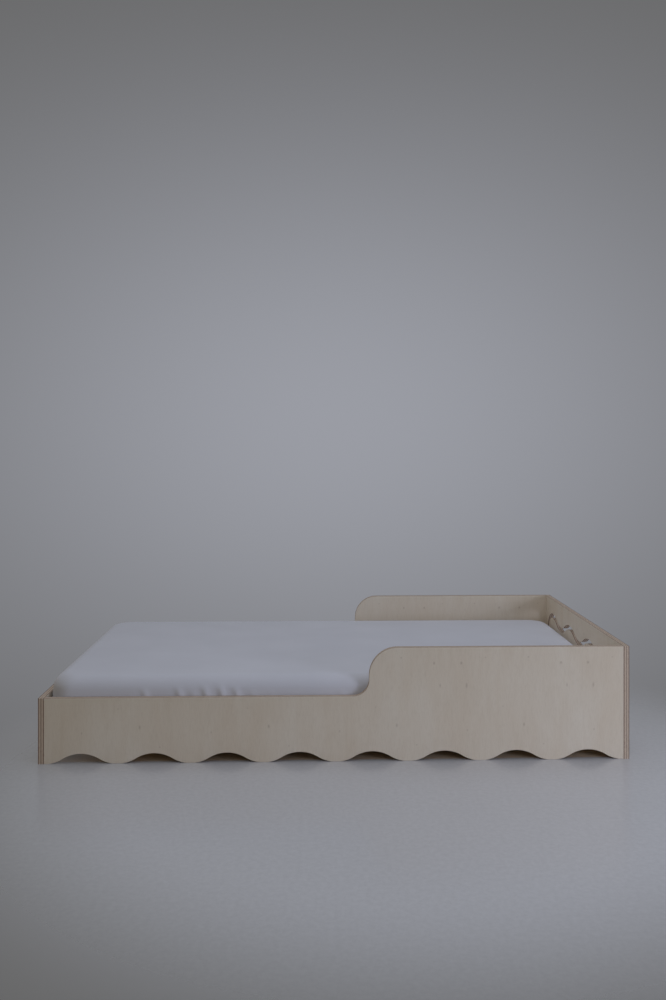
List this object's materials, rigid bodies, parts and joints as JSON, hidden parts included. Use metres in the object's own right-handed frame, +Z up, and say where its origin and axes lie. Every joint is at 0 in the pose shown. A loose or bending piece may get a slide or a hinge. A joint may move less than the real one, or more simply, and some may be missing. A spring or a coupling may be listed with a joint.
{
  "type": "kids bed",
  "caption": "Low plywood floor bed with scalloped lower edges, S-curved sides, a wavy slot in the headboard, a slatted base and a mattress in a fitted sheet.",
  "frame": {"origin": "on the floor, under the middle of the bed", "axes": "+X along the bed towards the headboard, +Y across it towards the wall side, +Z up"},
  "size_m": [1.86, 0.96, 0.357],
  "materials": {
    "birch_plywood": "matte",
    "pine": "matte",
    "beech": "matte",
    "webbing": "matte",
    "bolt_steel": "satin",
    "nut_steel": "satin",
    "screw_steel": "satin",
    "staple_wire": "satin",
    "foam": "matte",
    "cotton": "matte"
  },
  "bodies": {
    "bed_frame": {"side_panel_front": "birch_plywood", "side_panel_back": "birch_plywood", "headboard": "birch_plywood", "footboard": "birch_plywood", "ledger_front": "pine", "ledger_back": "pine", "slat_01": "pine", "slat_02": "pine", "slat_03": "pine", "slat_04": "pine", "slat_05": "pine", "slat_06": "pine", "slat_07": "pine", "slat_08": "pine", "slat_09": "pine", "slat_10": "pine", "slat_11": "pine", "slat_12": "pine", "slat_13": "pine", "slat_14": "pine", "slat_strap_front": "webbing", "slat_strap_back": "webbing", "strap_staples": "staple_wire", "corner_bolts": "bolt_steel", "barrel_nuts": "nut_steel", "corner_dowels": "beech", "ledger_screws": "screw_steel", "slat_screws": "screw_steel"},
    "mattress": {"mattress_core": "foam", "fitted_sheet": "cotton"}
  },
  "joints": [
    {"name": "mattress_lift", "type": "slide", "parent": "bed_frame", "child": "mattress", "axis": [0, 0, 1], "range_m": [0, 0.32]}
  ]
}
